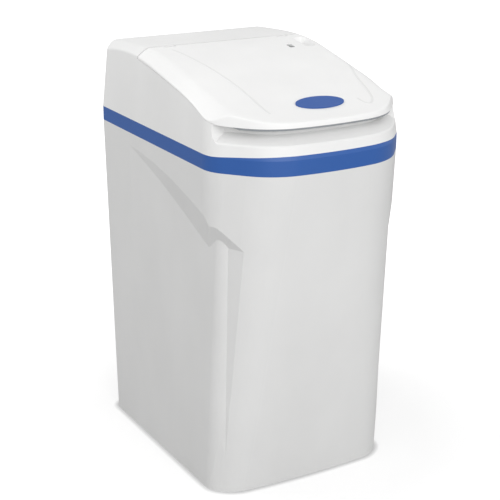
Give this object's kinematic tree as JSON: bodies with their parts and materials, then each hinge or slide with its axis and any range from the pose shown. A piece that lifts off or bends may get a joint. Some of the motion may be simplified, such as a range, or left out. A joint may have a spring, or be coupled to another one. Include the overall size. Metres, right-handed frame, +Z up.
{
  "type": "water softener",
  "caption": "Cabinet water softener: moulded salt cabinet with scooped flanks, trim band, hood and hinged lid over a resin tank, motor-driven valve, brine well and bypass.",
  "frame": {"origin": "centre of the cabinet's base plan on the floor", "axes": "+Z up, the front faces -Y, +X to the right when looking at the front"},
  "size_m": [0.36, 0.602, 0.718],
  "materials": {
    "cabinet_shell": "satin",
    "trim_band_blue": "satin",
    "hood_shell": "satin",
    "lid_shell": "satin",
    "badge_blue": "gloss",
    "panel_white": "satin",
    "housing_grey": "satin",
    "display": "gloss",
    "board_green": "satin",
    "button_grey": "satin",
    "tank_wrap": "wound fibre under gloss resin",
    "black_plastic": "satin",
    "white_plastic": "satin",
    "resin_beads": "satin",
    "seal_rubber": "matte",
    "gear_nylon": "satin",
    "float_foam": "satin",
    "handle_blue": "satin",
    "steel_pin": "bright drawn",
    "motor_case": "satin",
    "brass_tail": "machined"
  },
  "bodies": {
    "cabinet": {"cabinet": "cabinet_shell", "trim_band": "trim_band_blue", "hood": "hood_shell", "lid_hinge_pins": "steel_pin", "control_housing": "housing_grey", "control_panel": "panel_white", "display_lens": "display", "control_board": "board_green", "resin_tank": "tank_wrap", "tank_foot": "black_plastic", "lower_strainer": "white_plastic", "riser_tube": "white_plastic", "resin_bed": "resin_beads", "valve_body": "black_plastic", "seal_stack": "seal_rubber", "drive_motor": "motor_case", "drive_plate": "black_plastic", "brine_well": "white_plastic", "check_valve": "white_plastic", "brine_stem": "white_plastic", "brine_line": "white_plastic", "salt_platform": "white_plastic", "bypass_body": "black_plastic", "port_tails": "brass_tail", "port_nuts": "black_plastic", "drain_elbow": "black_plastic", "overflow_elbow": "black_plastic", "upper_strainer": "white_plastic", "power_inlet": "black_plastic"},
    "lid": {"lid": "lid_shell", "badge": "badge_blue"},
    "button_1": {"button_1": "button_grey"},
    "button_2": {"button_2": "button_grey"},
    "button_3": {"button_3": "button_grey"},
    "button_4": {"button_4": "button_grey"},
    "main_gear": {"main_gear": "gear_nylon"},
    "reduction_gear": {"reduction_gear": "gear_nylon"},
    "motor_pinion": {"motor_pinion": "steel_pin"},
    "piston": {"piston": "white_plastic"},
    "well_cap": {"brine_well_cap": "handle_blue"},
    "float": {"float": "float_foam"},
    "handle_left": {"bypass_handle_left": "handle_blue"},
    "handle_right": {"bypass_handle_right": "handle_blue"}
  },
  "joints": [
    {"name": "lid_hinge", "type": "hinge", "parent": "cabinet", "child": "lid", "pos_m": [0, 0.1015, 0.71297], "axis": [-1, 0, 0], "range_deg": [0, 95]},
    {"name": "button_1_press", "type": "slide", "parent": "cabinet", "child": "button_1", "axis": [0, 0, -1], "range_m": [0, 0.0012], "stiffness_N_per_m": 400, "springref_m": -0.0005},
    {"name": "button_2_press", "type": "slide", "parent": "cabinet", "child": "button_2", "axis": [0, 0, -1], "range_m": [0, 0.0012], "stiffness_N_per_m": 400, "springref_m": -0.0005},
    {"name": "button_3_press", "type": "slide", "parent": "cabinet", "child": "button_3", "axis": [0, 0, -1], "range_m": [0, 0.0012], "stiffness_N_per_m": 400, "springref_m": -0.0005},
    {"name": "button_4_press", "type": "slide", "parent": "cabinet", "child": "button_4", "axis": [0, 0, -1], "range_m": [0, 0.0012], "stiffness_N_per_m": 400, "springref_m": -0.0005},
    {"name": "main_gear_spin", "type": "hinge", "parent": "cabinet", "child": "main_gear", "pos_m": [0, 0.0425, 0.541], "axis": [0, 1, 0], "range_deg": [0, 540]},
    {"name": "reduction_gear_spin", "type": "hinge", "parent": "cabinet", "child": "reduction_gear", "pos_m": [0.02893, 0.038, 0.57547], "axis": [0, 1, 0], "range_deg": [-2160, 0]},
    {"name": "motor_pinion_spin", "type": "hinge", "parent": "cabinet", "child": "motor_pinion", "pos_m": [0.06438, 0.0335, 0.56922], "axis": [0, 1, 0], "range_deg": [0, 6480]},
    {"name": "piston_slide", "type": "slide", "parent": "cabinet", "child": "piston", "axis": [0, 1, 0], "range_m": [0, 0.03]},
    {"name": "well_cap_lift", "type": "slide", "parent": "cabinet", "child": "well_cap", "axis": [0, 0, 1], "range_m": [0, 0.08]},
    {"name": "float_rise", "type": "slide", "parent": "cabinet", "child": "float", "axis": [0, 0, 1], "range_m": [0, 0.13]},
    {"name": "handle_left_turn", "type": "hinge", "parent": "cabinet", "child": "handle_left", "pos_m": [-0.042, 0.29, 0.541], "axis": [0, 0, 1], "range_deg": [0, 90]},
    {"name": "handle_right_turn", "type": "hinge", "parent": "cabinet", "child": "handle_right", "pos_m": [0.042, 0.29, 0.541], "axis": [0, 0, 1], "range_deg": [0, 90]}
  ],
  "couplings": [
    {"joint": "reduction_gear_spin", "follows": "main_gear_spin", "ratio": -4},
    {"joint": "motor_pinion_spin", "follows": "main_gear_spin", "ratio": 12},
    {"joint": "piston_slide", "follows": "main_gear_spin", "m_per_rad": 0.0031831}
  ]
}
